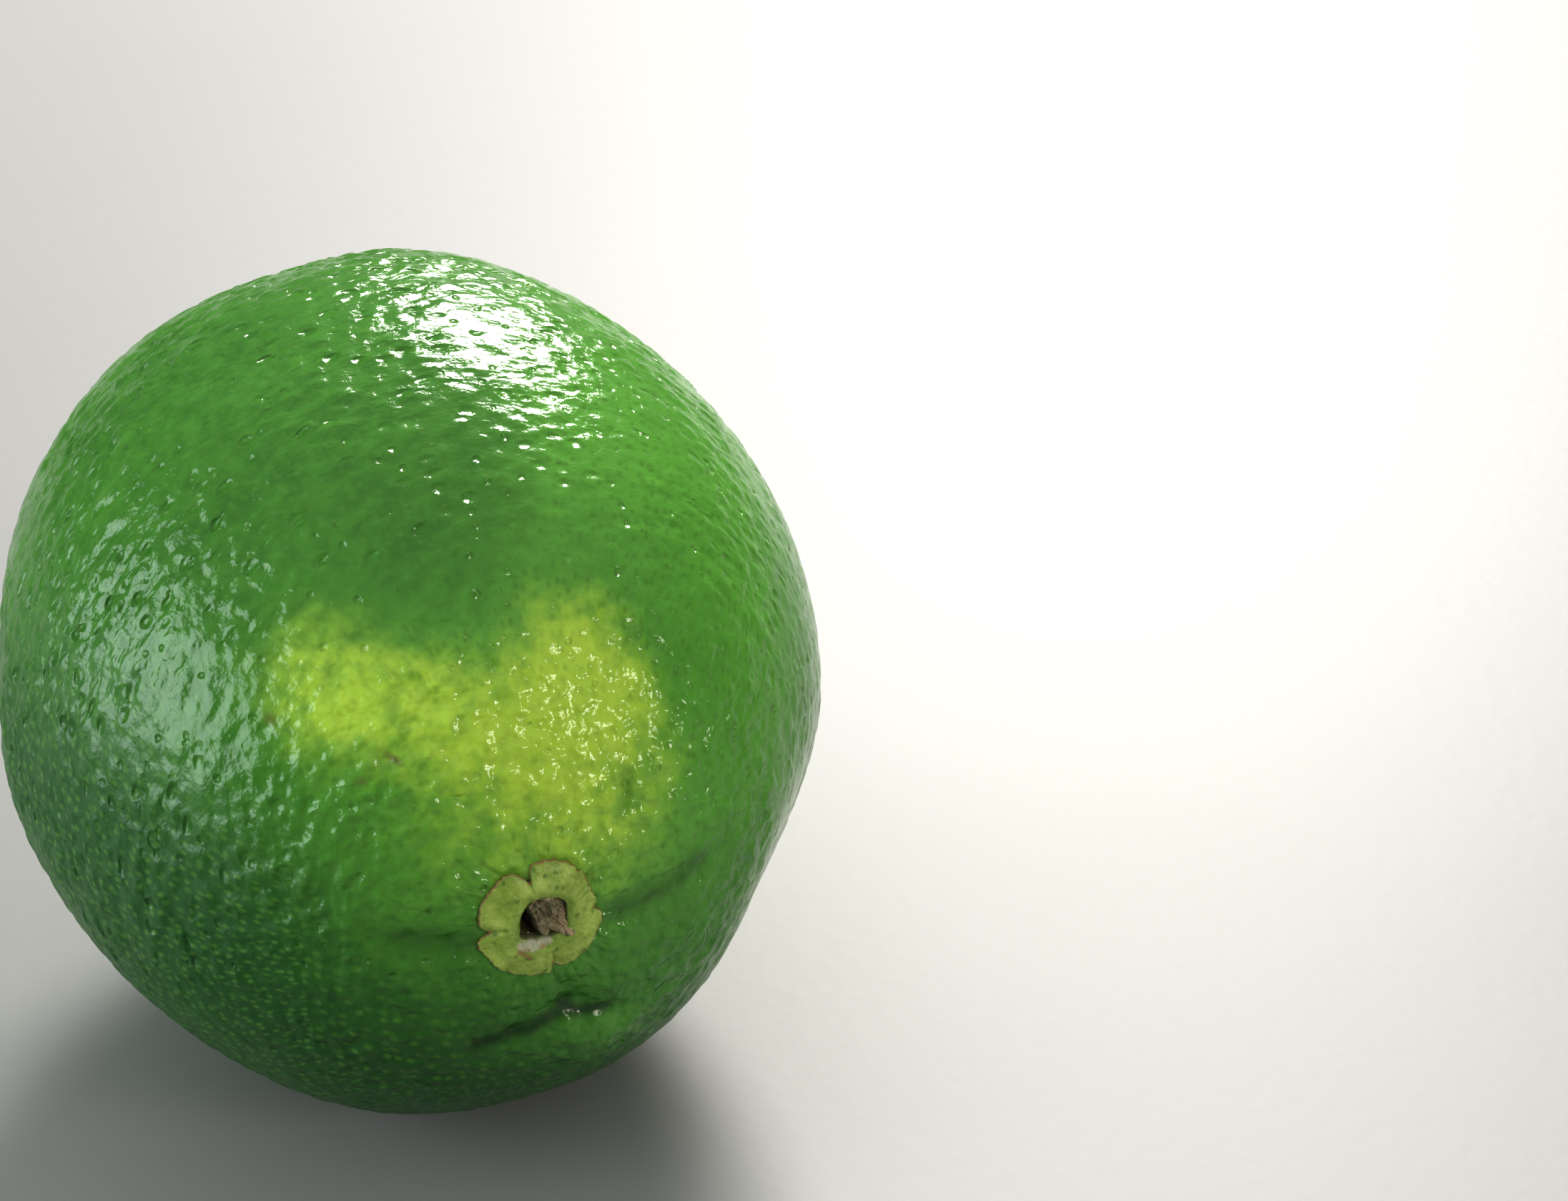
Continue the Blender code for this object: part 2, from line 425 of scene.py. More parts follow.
@dataclass(frozen=True)
class RindFinish:
    """Waxy green rind with oil glands, a sun-bleached patch and a few small marks; painted shade lies in
    its creases, its dimples and round the calyx's pit, and its deep green towards the bottom is partly
    painted shade.
    """

    deep: Colour = (0.011, 0.100, 0.010)
    leaf: Colour = (0.052, 0.205, 0.024)
    fresh: Colour = (0.150, 0.440, 0.058)
    bleached: Colour = (0.500, 0.730, 0.085)
    gland: Colour = (0.095, 0.260, 0.032)
    bleached_gland: Colour = (0.250, 0.330, 0.030)
    # painted shade: the dark colour laid along the creases
    fold: Colour = (0.006, 0.036, 0.006)
    scar: Colour = (0.190, 0.150, 0.060)
    # painted shade: dark brown laid on the rind under the calyx and round its pit
    seat: Colour = (0.050, 0.040, 0.015)
    clouds: Blotches = Blotches(9 * MM, 4.0, 0.55, 0.32, 0.68)
    flecks: Blotches = Blotches(1.3 * MM, 4.0, 0.65, 0.3, 0.7)
    mottles: Blotches = Blotches(2.6 * MM, 3.0, 0.6, 0.32, 0.68)
    glands: Spots = Spots(1.0 * MM, 0.38, 0.08, 0.0, 0.8, 0.5, Space.FLAT, 0.8)
    dents: Spots = Spots(1.6 * MM, 0.46, 0.08, 0.35, 0.8)
    close_pricks: Spots = Spots(0.85 * MM, 0.36, 0.05, 0.3, 0.7)
    pricks: Spots = Spots(1.15 * MM, 0.30, 0.05, 0.50, 0.75)
    gland_share: float = 0.85
    bleached_gland_share: float = 0.22
    # painted shade: how far the dimples are darkened toward deep green
    painted_pit_shade: float = 0.18
    scar_share: float = 0.7
    relief_depth: float = 0.27 * MM
    gland_depth: float = 0.015 * MM
    fine_depth: float = 0.024 * MM
    roughness: float = 0.13
    uneven_roughness: float = 0.08
    pit_roughness: float = 0.08
    deep_roughness: float = 0.20
    specular: float = 0.5
    bleached_patches: tuple[Patch, ...] = (
        Patch((-0.0100, -0.0240, 0.0140), (0.0092, 0.0100, 0.0066), (0, 6, -25), 1.35),
        Patch((-0.0050, -0.0268, 0.0125), (0.0090, 0.0090, 0.0060), (0, 0, 0), 0.75),
        Patch((-0.0005, -0.0280, 0.0120), (0.0092, 0.0080, 0.0070), (0, 0, 0), 0.95),
        Patch((0.0038, -0.0262, 0.0132), (0.0068, 0.0090, 0.0080), (0, -12, 0), 1.25),
        Patch((0.0035, -0.0240, 0.0165), (0.0050, 0.0060, 0.0055), (0, -25, 0), 0.25),
        Patch((0.0045, -0.0292, 0.0090), (0.0100, 0.0080, 0.0095), (0, 0, 0), 0.85),
        Patch((-0.0028, -0.0303, 0.0068), (0.0115, 0.0090, 0.0080), (0, 0, 0), 0.70),
        Patch((0.0048, -0.0308, 0.0035), (0.0080, 0.0070, 0.0080), (0, 0, 0), 0.55),
    )
    fresh_patches: tuple[Patch, ...] = (
        Patch((0.0115, -0.0182, 0.0188), (0.0170, 0.0180, 0.0110), (0, -25, 30), 1.7),
        Patch((0.0000, -0.0270, 0.0085), (0.0260, 0.0200, 0.0190), (0, 0, 0), 1.1),
        Patch((0.0150, -0.0200, 0.0080), (0.0160, 0.0180, 0.0180), (0, 0, 0), 0.6),
        Patch((0.0180, 0.0040, 0.0180), (0.0300, 0.0340, 0.0240), (0, 0, 0), 0.9),
        Patch((0.0000, -0.0290, -0.0120), (0.0110, 0.0080, 0.0060), (0, 0, 0), 0.6),
        Patch((0.0022, -0.0285, -0.0100), (0.0065, 0.0065, 0.0036), (0, -8, 0), 0.9),
    )
    # the rind's own deep green, laid also as painted shade towards the bottom and the lower left
    deep_green_and_painted_shade_patches: tuple[Patch, ...] = (
        Patch((-0.0210, -0.0110, -0.0065), (0.0320, 0.0400, 0.0270), (0, 0, 0), 1.6),
        Patch((0.0040, -0.0200, -0.0230), (0.0420, 0.0400, 0.0240), (0, 0, 0), 1.5),
    )
    marks: tuple[Patch, ...] = (
        Patch((-0.0080, -0.0276, 0.0108), (0.0011, 0.0014, 0.00035), (0, 38, 0), 1.0),
        Patch((-0.0099, -0.0274, 0.0095), (0.0006, 0.0010, 0.0005), (0, 0, 0), 0.7),
        Patch((-0.0142, -0.0229, 0.0121), (0.0006, 0.0010, 0.0006), (0, 0, 0), 0.8),
        Patch((0.0002, 0.0336, 0.0001), (0.0013, 0.0030, 0.0012), (0, 0, 0), 1.2),
        Patch((-0.0003, 0.0336, -0.0003), (0.0026, 0.0040, 0.0024), (0, 20, 0), 0.4),
    )

    def material(self, middle: Vector) -> bpy.types.Material:
        """Wires the rind's material.

        Args:
            middle: The fruit's middle, which the patches are measured from.

        Returns:
            The material.
        """
        wiring = Wiring("rind")
        wiring.shader.inputs["Specular IOR Level"].default_value = self.specular
        wavy = wiring.shaken(wiring.place, 7 * MM, 2.0 * MM)
        wavy = wiring.shaken(wavy, 1.8 * MM, 0.6 * MM)
        fleck = self.flecks.mask(wiring)
        bleached = self.bleaching(wiring, self.joined(wiring, middle, wavy, self.bleached_patches), fleck)
        fresh = wiring.fade(self.joined(wiring, middle, wavy, self.fresh_patches), 0.0, 1.0)
        # deep green, partly painted shade towards the bottom
        deep = wiring.fade(self.joined(wiring, middle, wavy, self.deep_green_and_painted_shade_patches), 0.1, 1.2)
        green = self.green(wiring, fleck, fresh, deep)
        spot = self.glands.mask(wiring, wiring.flat_place("skin_sides"))
        rind = self.with_glands(wiring, green, bleached, spot)
        pits = wiring.attribute("pit")
        # painted shade in the dimples
        rind = wiring.mix(wiring.scaled(pits, self.painted_pit_shade), rind, wiring.mix(0.5, self.deep, green))
        rind = self.with_scars_and_painted_shade(wiring, rind, self.joined(wiring, middle, wiring.place, self.marks))
        roughness = wiring.total(
            self.roughness,
            wiring.scaled(wiring.grain(0.8 * MM, 3.0, 0.6), self.uneven_roughness),
            wiring.scaled(pits, self.pit_roughness),
            wiring.scaled(deep, self.deep_roughness),
        )
        return wiring.finish(rind, roughness, self.relief(wiring, spot))

    def joined(
        self, wiring: Wiring, middle: Vector, place: Socket, patches: Sequence[Patch]
    ) -> Socket:
        """The patches at each point, run together where they meet."""
        return wiring.total(*(patch.mask(wiring, middle, place) for patch in patches))

    def bleaching(self, wiring: Wiring, patches: Socket, fleck: Socket) -> Socket:
        """How bleached the rind is: the bleached patches, broken up by mottles and flecks."""
        mottle = self.mottles.mask(wiring)
        uneven = wiring.total(0.62, wiring.scaled(mottle, 0.50), wiring.scaled(fleck, 0.20))
        return wiring.fade(wiring.scaled(patches, uneven), 0.05, 1.75)

    def green(self, wiring: Wiring, fleck: Socket, fresh: Socket, deep: Socket) -> Socket:
        """The unbleached rind.

        Args:
            wiring: The material being wired.
            fleck: The fine flecks that lighten it.
            fresh: How far it is fresh green.
            deep: How far it is deep green.

        Returns:
            Leaf green that turns to fresh or deep green, each lighter in clouds and flecks.
        """
        cloud = self.clouds.mask(wiring)
        tint = wiring.total(wiring.scaled(cloud, 0.45), wiring.scaled(fleck, 0.55))
        light_leaf = wiring.mix(0.45, self.leaf, self.fresh)
        dull_fresh = wiring.mix(0.6, self.leaf, self.fresh)
        light_deep = wiring.mix(0.3, self.deep, self.leaf)
        green = wiring.mix(tint, self.leaf, light_leaf)
        green = wiring.mix(fresh, green, wiring.mix(tint, dull_fresh, self.fresh))
        return wiring.mix(deep, green, wiring.mix(tint, self.deep, light_deep))

    def with_glands(self, wiring: Wiring, green: Socket, bleached: Socket, spot: Socket) -> Socket:
        """The rind bleached, with its oil glands showing as paler spots, or darker where bleached."""
        rind = wiring.mix(bleached, green, self.bleached)
        green_gland = wiring.mix(0.35, self.gland, wiring.mix(0.3, green, self.fresh))
        gland = wiring.mix(bleached, green_gland, self.bleached_gland)
        share = wiring.fade(bleached, 0.05, 0.4, self.gland_share, self.bleached_gland_share)
        return wiring.mix(wiring.scaled(spot, share), rind, gland)

    def with_scars_and_painted_shade(self, wiring: Wiring, rind: Socket, marks: Socket) -> Socket:
        """The rind with painted shade along its creases, small brown scars, and painted shade on the seat
        under the calyx.
        """
        # painted shade along the creases
        rind = wiring.mix(wiring.attribute("crease"), rind, self.fold)
        rind = wiring.mix(wiring.maths(Sum.TIMES, marks, self.scar_share, True), rind, self.scar)
        # painted shade on the seat under the calyx
        return wiring.mix(wiring.attribute("seat"), rind, self.seat)

    def stem_end(self, wiring: Wiring) -> Socket:
        """Height of the small pricks, and of the lumps round the calyx, left out in the creases."""
        bent = wiring.shaken(wiring.place, 0.5 * MM, 0.16 * MM)
        near_stem = wiring.attribute("near_stem")
        close = wiring.scaled(self.close_pricks.mask(wiring, bent), near_stem)
        prick = wiring.scaled(self.pricks.mask(wiring, bent), wiring.attribute("pricked"))
        pricks = wiring.total(wiring.scaled(prick, -1.0), wiring.scaled(close, -0.14))
        lumps = wiring.scaled(wiring.grain(0.95 * MM, 1.0, 0.4), wiring.scaled(near_stem, 1.5))
        return wiring.scaled(wiring.total(pricks, lumps), wiring.rest_of(wiring.attribute("crease")))

    def relief(self, wiring: Wiring, spot: Socket) -> Socket:
        """The bumped normal: skin, dents, the stem end and its fan of ridges, glands, fine grain."""
        pitting = wiring.attribute("pitting")
        skin = wiring.grain(1.1 * MM, 2.0, 0.5, wiring.mapped(size=(1.3, 0.75, 1.3)))
        skin = wiring.scaled(skin, wiring.fade(pitting, 0.2, 0.9, 0.22, 0.75))
        wavy = wiring.shaken(wiring.place, 2.4 * MM, 0.4 * MM)
        dent = self.dents.mask(wiring, wiring.mapped(size=(1.0, 0.62, 1.0), place=wavy))
        dent = wiring.scaled(dent, pitting)
        fan = wiring.grain(1.0, 1.0, 0.5, wiring.vector_attribute("fan"))
        fan = wiring.scaled(fan, wiring.attribute("fanned"))
        height = wiring.total(skin, wiring.scaled(dent, -1.1), self.stem_end(wiring))
        height = wiring.total(height, wiring.scaled(fan, 0.9))
        normal = wiring.bump(height, self.relief_depth)
        normal = wiring.bump(wiring.rest_of(spot), self.gland_depth, normal)
        return wiring.bump(wiring.grain(0.22 * MM, 2.0), self.fine_depth, normal)


@dataclass(frozen=True)
class CalyxFinish:
    """Dull olive calyx with green dots, a dry brown edge, torn tissue at the pit and painted shade down
    the pit's inner wall.
    """

    olive: Colour = (0.250, 0.380, 0.055)
    pale: Colour = (0.450, 0.590, 0.140)
    dot: Colour = (0.070, 0.180, 0.020)
    ring: Colour = (0.120, 0.240, 0.028)
    dry: Colour = (0.330, 0.210, 0.090)
    shaded: Colour = (0.110, 0.120, 0.050)
    torn: Colour = (0.500, 0.500, 0.380)
    tints: Blotches = Blotches(1.6 * MM, 5.0, 0.65, 0.36, 0.64)
    flecks: Blotches = Blotches(0.28 * MM, 3.0, 0.7, 0.45, 0.70)
    dots: Spots = Spots(0.62 * MM, 0.42, 0.10, 0.35, 0.75)
    ring_share: float = 0.6
    dot_share: float = 0.80
    fleck_share: float = 0.35
    raggedness: float = 1.2
    roughness: float = 0.33
    pale_roughness: float = 0.12

    def material(self) -> bpy.types.Material:
        """Wires the calyx's material."""
        wiring = Wiring("calyx")
        tint = self.tints.mask(wiring)
        leaf = wiring.mix(tint, self.olive, self.pale)
        leaf = wiring.mix(wiring.scaled(wiring.attribute("ring"), self.ring_share), leaf, self.ring)
        leaf = wiring.mix(wiring.scaled(self.dots.mask(wiring), self.dot_share), leaf, self.dot)
        leaf = wiring.mix(wiring.scaled(self.flecks.mask(wiring), self.fleck_share), leaf, self.pale)
        ragged = wiring.grain(0.45 * MM, 4.0, 0.65)
        edge = wiring.total(wiring.attribute("edge"), wiring.scaled(ragged, self.raggedness))
        leaf = wiring.mix(wiring.fade(edge, 1.20, 1.70), leaf, self.dry)
        torn = wiring.mix(wiring.fade(ragged, 0.35, 0.5), self.dry, self.torn)
        leaf = wiring.mix(wiring.attribute("torn"), leaf, torn)
        leaf = wiring.mix(wiring.attribute("scratch"), leaf, self.dry)
        # painted shade down the pit's inner wall
        leaf = wiring.mix(wiring.attribute("pit"), leaf, self.shaded)
        roughness = wiring.total(self.roughness, wiring.scaled(tint, self.pale_roughness))
        return wiring.finish(leaf, roughness, wiring.bump(wiring.grain(0.24 * MM, 4.0, 0.6), 0.05 * MM))


@dataclass(frozen=True)
class WoodFinish:
    """Dry torn stem wood, tan at the tooth and the rim, with near-black painted shade in the hollow."""

    dark: Colour = (0.150, 0.120, 0.075)
    brown: Colour = (0.300, 0.235, 0.140)
    moss: Colour = (0.340, 0.345, 0.200)
    tan: Colour = (0.560, 0.450, 0.280)
    # painted shade: near-black laid in the hollow beside the stub
    hollow: Colour = (0.008, 0.009, 0.012)
    mossy: Blotches = Blotches(0.7 * MM, 2.0, 0.5, 0.4, 0.6)
    fibre_depth: float = 0.06 * MM
    roughness: float = 0.7

    def material(self) -> bpy.types.Material:
        """Wires the stub's material."""
        wiring = Wiring("stem_wood")
        fibres = wiring.grain(0.14 * MM, 4.0, 0.75)
        light = wiring.mix(self.mossy.mask(wiring), self.brown, self.moss)
        wood = wiring.mix(wiring.fade(fibres, 0.35, 0.62), self.dark, light)
        tan = wiring.mix(wiring.fade(fibres, 0.3, 0.6), self.brown, self.tan)
        wood = wiring.mix(wiring.attribute("tan"), wood, tan)
        # painted shade in the hollow
        wood = wiring.mix(wiring.attribute("dark"), wood, self.hollow)
        return wiring.finish(wood, self.roughness, wiring.bump(fibres, self.fibre_depth))


@dataclass(frozen=True)
class FloorFinish:
    """Plain matt paper, very slightly uneven."""

    light: Colour = (0.37, 0.37, 0.368)
    shade: Colour = (0.355, 0.355, 0.353)
    roughness: float = 0.5
    tooth: float = 0.02 * MM

    def material(self) -> bpy.types.Material:
        """Wires the floor's material."""
        wiring = Wiring("floor_paper")
        paper = wiring.mix(wiring.grain(60 * MM, 4.0), self.light, self.shade)
        normal = wiring.bump(wiring.grain(1.5 * MM, 3.0), self.tooth)
        return wiring.finish(paper, self.roughness, normal)


# ---------------------------------------------------------------------------------------------
# Pieces
# ---------------------------------------------------------------------------------------------


def float_layers(shape: bmesh.types.BMesh, *names: str) -> Layers:
    """Gives every point of a shape one number under each name, for its finish to read."""
    for name in names:
        shape.verts.layers.float.new(name)
    return {name: shape.verts.layers.float[name] for name in names}


def paint(vertex: bmesh.types.BMVert, layers: Layers, **shares: float) -> None:
    """Stores a point's numbers in the layers of the same names."""
    for name, share in shares.items():
        vertex[layers[name]] = share


def add_piece(name: str, shape: bmesh.types.BMesh, material: bpy.types.Material) -> bpy.types.Object:
    """Turns a finished shape into a smooth-shaded object at the origin.

    Args:
        name: The piece's name.
        shape: Its shape, which is freed.
        material: Its material.

    Returns:
        The new object.
    """
    bmesh.ops.recalc_face_normals(shape, faces=shape.faces)
    for face in shape.faces:
        face.smooth = True
    mesh = bpy.data.meshes.new(name)
    shape.to_mesh(mesh)
    shape.free()
    mesh.materials.append(material)
    piece = bpy.data.objects.new(name, mesh)
    bpy.context.scene.collection.objects.link(piece)
    LOG.info("%s: %d faces", name, len(mesh.polygons))
    return piece


def declare(piece: bpy.types.Object, node: str) -> None:
    """Hangs a piece under the root body and hides the imported node it stands for."""
    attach(piece, "root")
    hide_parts(node)


@dataclass(frozen=True)
class Skin:
    """The finished rind's surface, for the pieces that stand on it."""

    tree: BVHTree
    middle: Vector
    start: float = 0.05

    @classmethod
    def of(cls, piece: bpy.types.Object, middle: Vector) -> "Skin":
        """Takes the surface of a finished rind, and the fruit's middle."""
        shape = bmesh.new()
        shape.from_mesh(piece.data)
        tree = BVHTree.FromBMesh(shape)
        shape.free()
        return cls(tree, middle)

    def y_at(self, x: float, z: float) -> float:
        """How far along Y the stem end lies, at an x and a z from the fruit's middle."""
        outside = Vector((self.middle.x + x, self.middle.y - self.start, self.middle.z + z))
        return self.tree.ray_cast(outside, Vector((0.0, 1.0, 0.0)))[0].y

    def point(self, x: float, y: float, z: float) -> Vector:
        """The point with an x and a z from the fruit's middle, and a y of its own."""
        return Vector((self.middle.x + x, y, self.middle.z + z))


@dataclass(frozen=True)
class Crease:
    """A fold in the rind near the stem end: its bends in X and Z from the long axis, its depth and the
    painted shade along it.
    """

    bends: tuple[tuple[float, float], ...]
    half_width: float
    depth: float
    # how dark the painted shade along the crease is, from 0 to 1
    shade: float


@dataclass
class Rind:
    """The fruit's skin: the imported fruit's shape with dimples, folds and wrinkles worked into it."""

    grid: int = 128
    crowding: float = 0.42
    smoothings: int = 6
    rest_height: float = 0.0259
    tip_reach: float = 0.0336
    mean_reach: float = 0.0285
    side_gap: float = 0.1
    seat: tuple[float, float] = (-0.0004, 0.0002)
    stem_end: float = 0.016
    crown: tuple[float, float, float] = (-0.25, 0.15, 0.95)
    crown_spread: float = 0.80
    flank: tuple[float, float, float] = (-0.90, -0.30, 0.25)
    flank_spread: float = 0.65
    lump_size: float = 0.013
    lump_height: float = 0.00012
    pit_size: float = 0.0024
    pit_depth: float = 0.00015
    pit_spread: float = 0.38
    pit_stretch: float = 1.6
    cushion_size: float = 0.0020
    cushion_height: float = 0.00027
    valley_spread: float = 0.34
    ridge_size: float = 0.0022
    ridge_height: float = 0.00011
    fan_spokes: float = 9.0
    wrinkle_height: float = 0.00010
    grain_size: float = 0.0012
    grain_height: float = 0.00015
    socket_depth: float = 0.0008
    socket_reach: float = 0.0015
    socket_floor: float = 0.0009
    creases: tuple[Crease, ...] = (
        Crease(
            ((0.0043, -0.0006), (0.0065, -0.0005), (0.0080, -0.0002), (0.0105, 0.0008)),
            0.00080,
            -0.00022,
            0.45,
        ),
        Crease(((0.0064, -0.0006), (0.0074, -0.0003)), 0.00045, 0.00006, 0.60),
        Crease(
            ((-0.0042, -0.0092), (-0.0011, -0.0086), (0.0005, -0.0078), (0.0015, -0.0071)),
            0.00065,
            0.00010,
            0.85,
        ),
        Crease(((0.0011, -0.0071), (0.0024, -0.0080), (0.0040, -0.0081)), 0.00060, 0.00006, 0.90),
        Crease(((0.0056, 0.0081), (0.0055, 0.0072), (0.0052, 0.0058)), 0.00035, 0.00014, 0.18),
        Crease(((-0.0087, -0.0004), (-0.0065, -0.0007), (-0.0044, -0.0012)), 0.00090, 0.00012, 0.35),
    )
    middle: Vector = field(init=False)

    def __post_init__(self) -> None:
        """Places the fruit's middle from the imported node's box."""
        low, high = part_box("fruit")
        self.middle = Vector(((low[0] + high[0]) / 2, high[1] - self.tip_reach, self.rest_height))

    def packed_skin(self) -> BVHTree:
        """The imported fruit, merged, put back into squares and rounded, ready for rays."""
        shape = bmesh.new()
        shape.from_mesh(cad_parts["fruit"].data)
        bmesh.ops.remove_doubles(shape, verts=shape.verts, dist=0.00001)
        bmesh.ops.join_triangles(
            shape,
            faces=shape.faces,
            angle_face_threshold=math.radians(20),
            angle_shape_threshold=math.radians(60),
        )
        mesh = bpy.data.meshes.new("packed_skin")
        shape.to_mesh(mesh)
        shape.free()
        helper = bpy.data.objects.new("packed_skin", mesh)
        bpy.context.scene.collection.objects.link(helper)
        rounding = helper.modifiers.new("rounding", "SUBSURF")
        rounding.levels = 2
        rounding.render_levels = 2
        tree = BVHTree.FromObject(helper, bpy.context.evaluated_depsgraph_get())
        bpy.data.objects.remove(helper, do_unlink=True)
        bpy.data.meshes.remove(mesh)
        return tree

    def direction(self, corner: Vector) -> Vector:
        """The direction of a point of a cube, evened out and crowded toward the stem end."""
        even = Vector([math.tan(value * math.pi / 4) for value in corner]).normalized()
        polar = math.acos(min(max(-even.y, -1.0), 1.0))
        crowded = polar - self.crowding * math.sin(polar)
        around = Vector((even.x, 0.0, even.z))
        if around.length > 0:
            around.normalize()
        return around * math.sin(crowded) - Vector((0.0, math.cos(crowded), 0.0))

    def smooth_skin(self) -> bmesh.types.BMesh:
        """A fine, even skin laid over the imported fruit."""
        tree = self.packed_skin()
        shape = bmesh.new()
        bmesh.ops.create_cube(shape, size=2)
        bmesh.ops.subdivide_edges(shape, edges=shape.edges[:], cuts=self.grid - 1, use_grid_fill=True)
        side_layer = shape.faces.layers.int.new("side")
        for face in shape.faces:
            centre = face.calc_center_median()
            axis = max(range(3), key=lambda index: abs(centre[index]))
            face[side_layer] = 2 * axis + (centre[axis] > 0)
        for vertex in shape.verts:
            hit = tree.ray_cast(self.middle, self.direction(vertex.co))[0]
            vertex.co = hit if hit is not None else self.middle
        for _ in range(self.smoothings):
            bmesh.ops.smooth_vert(
                shape, verts=shape.verts, factor=0.5, use_axis_x=True, use_axis_y=True, use_axis_z=True
            )
        shape.normal_update()
        return shape

    def pitting(self, place: Vector, toward: Vector) -> float:
        """How strongly the skin is dimpled: most at the crown and the flank, and in patches."""
        crown = bell((toward - Vector(self.crown)).length, self.crown_spread)
        flank = bell((toward - Vector(self.flank)).length, self.flank_spread)
        patches = step(noise.noise(place / (7 * MM)), -0.35, 0.45)
        return (0.30 + 0.70 * max(crown, flank)) * (0.60 + 0.60 * patches)

    def bent(self, place: Vector, size: float) -> Vector:
        """A place shortened along the fruit and pushed about, so that no pattern runs straight."""
        stretched = Vector((place.x, place.y * self.pit_stretch, place.z))
        return stretched + noise.noise_vector(place / size) * (0.6 * MM)

    def dimple(self, place: Vector) -> float:
        """How deep the dimples are at a place, from 0 to 1."""
        distances, centres = noise.voronoi(self.bent(place, 1.6 * MM) / self.pit_size)
        random = noise.cell(centres[0] * 7.31)
        return bell(distances[0], self.pit_spread) * step(abs(random), 0.05, 0.6)

    def cushion(self, place: Vector) -> float:
        """Low cushions with soft valleys between them, from 0 in a valley to 1."""
        distances, _ = noise.voronoi(self.bent(place, 1.7 * MM) / self.cushion_size)
        return 1 - bell(distances[1] - distances[0], self.valley_spread)

    def ridges(self, place: Vector) -> float:
        """Long low ridges that run round the fruit, from -1 to 1."""
        stretched = Vector((place.x * 0.55, place.y * 1.5, place.z * 0.55)) / self.ridge_size
        return noise.fractal(stretched, 1.0, 2.0, 2)

    def swell(self, place: Vector, pitting: float) -> float:
        """Height of the lumps, ridges and cushions at a place, in metres."""
        height = self.lump_height * noise.noise(place / self.lump_size)
        height += self.ridge_height * self.ridges(place) * pitting
        return height + self.cushion_height * (self.cushion(place) - 1) * pitting

    def fan(self, across: Vector) -> tuple[Vector, float]:
        """Coordinates for ridges that run out from the calyx, and how strong they are."""
        reach = across.length
        out = across.normalized() * self.fan_spokes
        strength = step(reach, 0.0036, 0.0043) * step(reach, 0.0072, 0.0050)
        return Vector((out.x, out.y, reach / (2.0 * MM))), strength

    def folds(self, across: Vector) -> tuple[float, float]:
        """How deep the creases are at a spot, in metres, and how dark their painted shade is."""
        sway = noise.noise_vector(Vector((across.x, across.y, 0.0)) / (1.6 * MM))
        swayed = across + Vector((sway.x, sway.y)) * (0.25 * MM)
        depth = 0.0
        shade = 0.0
        for crease in self.creases:
            near = bell(distance_to_line(swayed, crease.bends), crease.half_width)
            depth += crease.depth * near
            shade = max(shade, crease.shade * near)
        return depth, shade

    def work_in(self, shape: bmesh.types.BMesh) -> None:
        """Moves each point of the smooth skin, and stores what the finish reads."""
        fan_layer = shape.verts.layers.float_vector.new("fan")
        layers = float_layers(
            shape, "pit", "crease", "seat", "pitting", "fanned", "near_stem", "pricked"
        )
        moves = []
        for vertex in shape.verts:
            place = vertex.co - self.middle
            toward = place.normalized()
            pitting = self.pitting(place, toward)
            pit = self.dimple(place) * pitting
            height = self.swell(place, pitting)
            across = Vector((place.x, place.z))
            fold = shade = seat = fanned = 0.0
            if place.y < 0 and across.length < self.stem_end:
                from_seat = across - Vector(self.seat)
                away = from_seat.length
                pit *= step(away, 0.0040, 0.0075)
                pitting *= step(away, 0.0050, 0.0085)
                # painted shade on the rind under the calyx's inner part and its pit
                seat = step(away, 0.0034, 0.0024)
                fold, shade = self.folds(across)
                vertex[fan_layer], fanned = self.fan(from_seat)
                height += self.wrinkle_height * noise.noise(vertex[fan_layer]) * fanned
                height -= self.socket_depth * step(away, self.socket_reach, self.socket_floor)
            height -= self.pit_depth * pit + fold
            near_stem = step(toward.y, -0.70, -0.92)
            height += self.grain_height * noise.noise(place / self.grain_size) * near_stem
            pricked = step(toward.z, -0.9, -0.1) * (0.5 - 0.3 * step(pitting, 0.3, 0.9))
            # pit is the dimples' depth, read for their painted shade and their roughness
            paint(vertex, layers, pit=min(pit, 1.0), pitting=pitting, pricked=pricked)
            # crease holds the painted shade along the creases; seat holds the painted shade round the
            # calyx's pit
            paint(vertex, layers, crease=shade, seat=seat, fanned=fanned, near_stem=near_stem)
            moves.append((vertex, vertex.normal * height))
        for vertex, move in moves:
            vertex.co += move
            vertex.co.z = max(vertex.co.z, 0.0)

    def lay_flat(self, shape: bmesh.types.BMesh) -> None:
        """Flattens the skin's six sides into a map in metres, each side in its own place."""
        side_layer = shape.faces.layers.int["side"]
        flat_layer = shape.loops.layers.uv.new("skin_sides")
        for face in shape.faces:
            side = face[side_layer]
            axis = side // 2
            for loop in face.loops:
                place = loop.vert.co - self.middle
                out = abs(place[axis])
                across = math.atan2(place[(axis + 1) % 3], out) * self.mean_reach
                up = math.atan2(place[(axis + 2) % 3], out) * self.mean_reach
                loop[flat_layer].uv = (across + self.side_gap * side, up)

    def build(self, finish: RindFinish) -> bpy.types.Object:
        """Makes and dresses the rind."""
        shape = self.smooth_skin()
        self.work_in(shape)
        self.lay_flat(shape)
        piece = add_piece("fruit_rind", shape, finish.material(self.middle))
        declare(piece, "fruit")
        return piece


@dataclass(frozen=True)
class Notch:
    """A cut or dip in the calyx's outline, with its own steepness on each side of its turn."""

    turn: float
    depth: float
    before: float
    after: float

    def at(self, turn: float) -> float:
        """How far it draws the outline in at a turn."""
        past = turn_past(turn, self.turn)
        return self.depth * bell(past, self.after if past > 0 else self.before)


